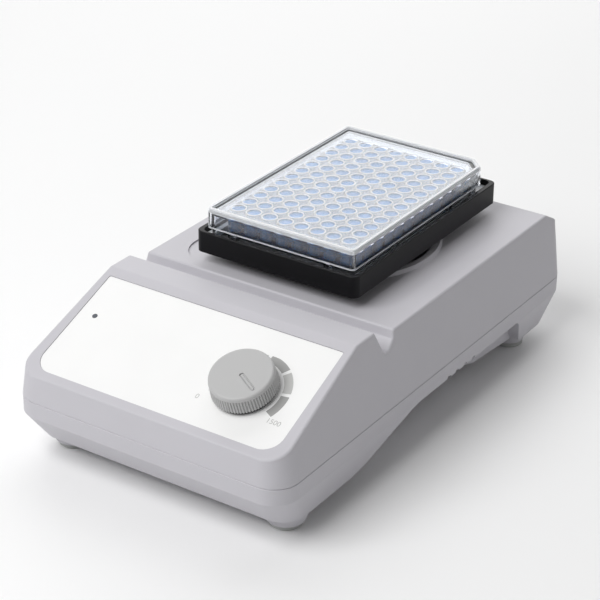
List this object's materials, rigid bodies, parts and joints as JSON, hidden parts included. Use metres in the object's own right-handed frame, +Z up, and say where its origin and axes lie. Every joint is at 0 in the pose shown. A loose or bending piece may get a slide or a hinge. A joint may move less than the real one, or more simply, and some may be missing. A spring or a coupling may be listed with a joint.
{
  "type": "microplate shaker",
  "caption": "Bench shaker with a sloping control face, speed knob and an orbiting tray that holds a lidded well plate.",
  "frame": {"origin": "on the table under the middle of the housing, at the bottom of the feet", "axes": "+X to the operator's right, +Y from the control face to the rear connections, +Z up"},
  "size_m": [0.15, 0.26, 0.0949],
  "materials": {
    "housing": "fine texture",
    "overlay": "smooth",
    "knob": "fine texture",
    "tray": "satin",
    "clear": "clear",
    "rubber": "translucent",
    "steel": "turned",
    "aluminium": "milled",
    "laminations": "varnished",
    "winding": "enamelled",
    "brass": "sintered",
    "board": "solder mask",
    "dark": "satin",
    "plated": "plated",
    "lamp": "clear",
    "ceramic": "glazed"
  },
  "bodies": {
    "housing": {"lower_housing": "housing", "upper_housing": "housing", "control_panel": "overlay", "power_lamp": "lamp", "lamp_board": "board", "housing_screws": "steel", "foot_front_left": "rubber", "foot_front_right": "rubber", "foot_rear_left": "rubber", "foot_rear_right": "rubber", "bridge_plate": "aluminium", "bridge_standoffs": "aluminium", "standoff_screws": "steel", "bridge_bushes": "brass", "motor_stack": "laminations", "coil_bobbin": "dark", "motor_coil": "winding", "motor_bracket_top": "steel", "motor_bracket_bottom": "steel", "motor_bushes": "brass", "motor_spacers": "aluminium", "motor_bolts": "steel", "speed_control": "dark", "control_nut": "plated", "control_board": "board", "board_screws": "steel", "board_heatsink": "aluminium", "board_capacitors": "laminations", "board_terminals": "dark", "mains_inlet": "dark", "inlet_pins": "plated", "switch_frame": "dark", "fuse_holder": "dark", "fuse_link": "ceramic"},
    "drive": {"motor_shaft": "steel", "motor_rotor": "aluminium", "motor_fan": "dark", "drive_crank": "steel"},
    "table": {"crank_bearing": "steel", "tray_carrier": "aluminium", "carrier_bushes": "brass", "plate_tray": "tray", "tray_screws": "steel"},
    "idler_rear": {"idler_crank_rear": "steel"},
    "idler_left": {"idler_crank_left": "steel"},
    "idler_right": {"idler_crank_right": "steel"},
    "control": {"speed_knob": "knob", "control_shaft": "steel"},
    "rocker": {"switch_rocker": "dark"},
    "fuse_cap": {"fuse_cap": "dark"},
    "plate": {"microplate": "clear"},
    "lid": {"plate_lid": "clear"}
  },
  "joints": [
    {"name": "drive_spin", "type": "hinge", "parent": "housing", "child": "drive", "pos_m": [0, 0.03625, 0.0588], "axis": [0, 0, 1], "continuous": true},
    {"name": "table_orbit", "type": "hinge", "parent": "drive", "child": "table", "pos_m": [0, 0.0385, 0.0688], "axis": [0, 0, 1], "continuous": true},
    {"name": "idler_rear_turn", "type": "hinge", "parent": "housing", "child": "idler_rear", "pos_m": [0, 0.06325, 0.0588], "axis": [0, 0, 1], "continuous": true},
    {"name": "idler_left_turn", "type": "hinge", "parent": "housing", "child": "idler_left", "pos_m": [-0.02338, 0.02275, 0.0588], "axis": [0, 0, 1], "continuous": true},
    {"name": "idler_right_turn", "type": "hinge", "parent": "housing", "child": "idler_right", "pos_m": [0.02338, 0.02275, 0.0588], "axis": [0, 0, 1], "continuous": true},
    {"name": "knob_turn", "type": "hinge", "parent": "housing", "child": "control", "pos_m": [0.0352, -0.09942, 0.05704], "axis": [0, -0.3827, 0.9239], "range_deg": [-3, 229]},
    {"name": "switch_rock", "type": "hinge", "parent": "housing", "child": "rocker", "pos_m": [0.009, 0.1243, 0.0445], "axis": [1, 0, 0], "range_deg": [0, 16]},
    {"name": "fuse_cap_turn", "type": "hinge", "parent": "housing", "child": "fuse_cap", "pos_m": [0.028, 0.1263, 0.0445], "axis": [0, 1, 0], "range_deg": [-90, 0]},
    {"name": "plate_lift", "type": "slide", "parent": "table", "child": "plate", "axis": [0, 0, 1], "range_m": [0, 0.06]},
    {"name": "lid_lift", "type": "slide", "parent": "plate", "child": "lid", "axis": [0, 0, 1], "range_m": [0, 0.06]}
  ],
  "couplings": [
    {"joint": "table_orbit", "follows": "drive_spin", "ratio": -1},
    {"joint": "idler_rear_turn", "follows": "drive_spin", "ratio": 1},
    {"joint": "idler_left_turn", "follows": "drive_spin", "ratio": 1},
    {"joint": "idler_right_turn", "follows": "drive_spin", "ratio": 1}
  ]
}
